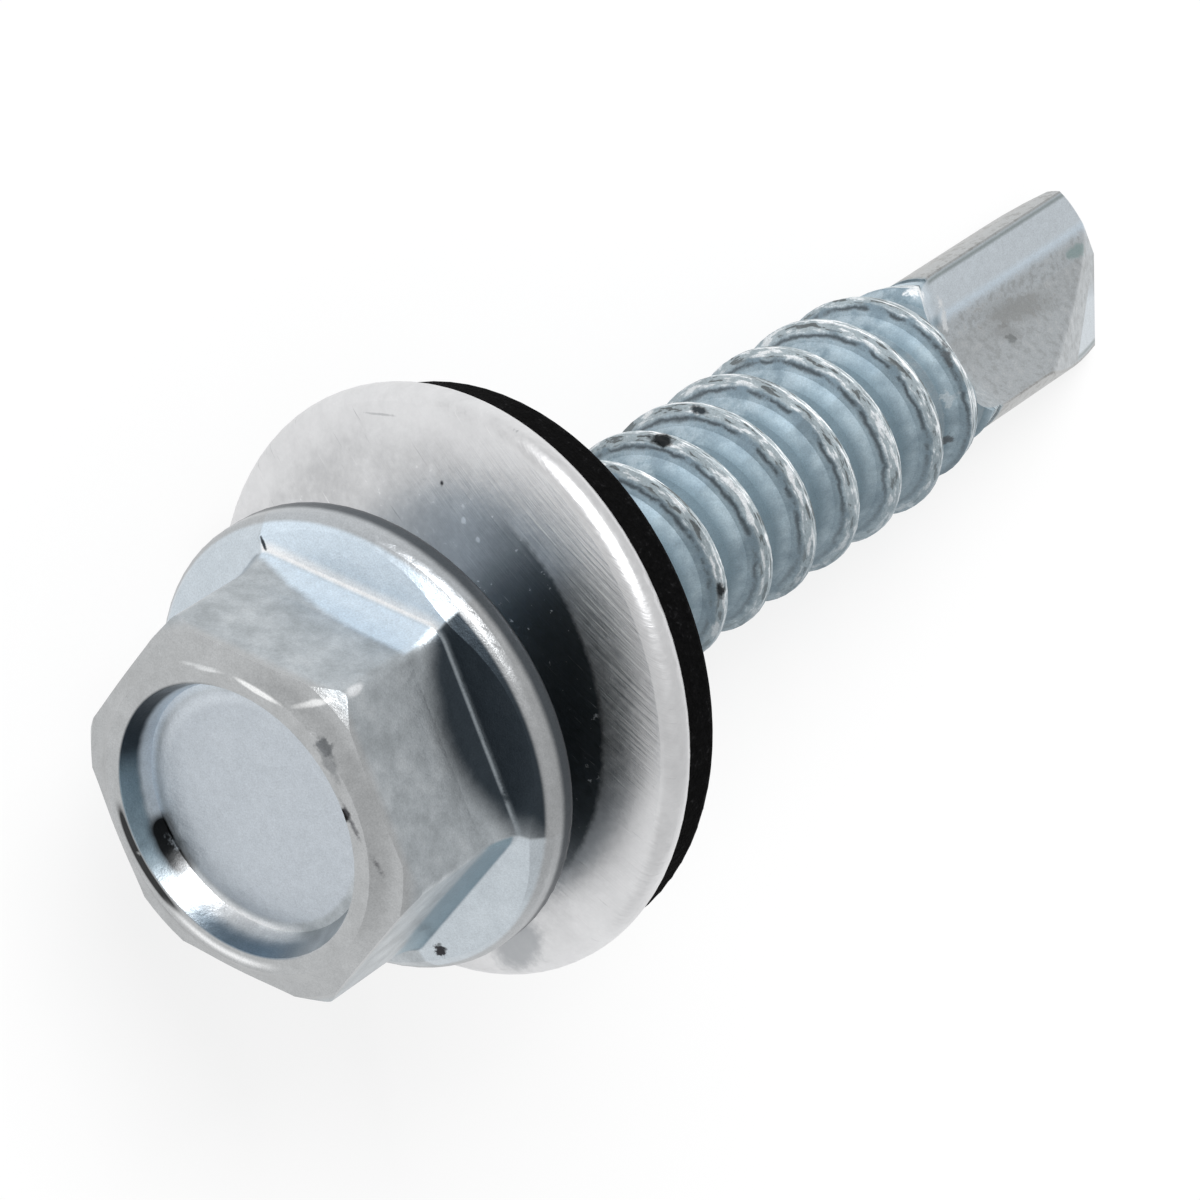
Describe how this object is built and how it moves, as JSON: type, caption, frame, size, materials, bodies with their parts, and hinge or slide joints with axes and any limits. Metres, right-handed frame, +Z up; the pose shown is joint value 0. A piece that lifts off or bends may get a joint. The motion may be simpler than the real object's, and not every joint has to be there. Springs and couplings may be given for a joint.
{
  "type": "self drilling screw",
  "caption": "Zinc-plated self drilling roofing screw with hexagon flange head, coarse thread, pinched drill point and a loose bonded metal and rubber sealing washer.",
  "frame": {"origin": "centre of the flange's bearing face, on the screw's axis", "axes": "+Z up and +X level as the screw lies at rest; the screw's axis runs towards +X and a little downwards to the drill point"},
  "size_m": [0.0345, 0.0136, 0.0135],
  "materials": {
    "zinc_steel": "bright zinc plating with a faint blue passivation, forged and rolled surface",
    "washer_metal": "satin rolled sheet with fine scratches",
    "seal_rubber": "matt black EPDM with a slightly rough moulded skin"
  },
  "bodies": {
    "screw": {"screw": "zinc_steel"},
    "washer": {"metal_washer": "washer_metal", "rubber_seal": "seal_rubber"}
  },
  "joints": [
    {"name": "washer_spin", "type": "hinge", "parent": "screw", "child": "washer", "pos_m": [0.0025, 0.00003, -0.00051], "axis": [0.9713, -0.126, -0.2017], "continuous": true}
  ]
}
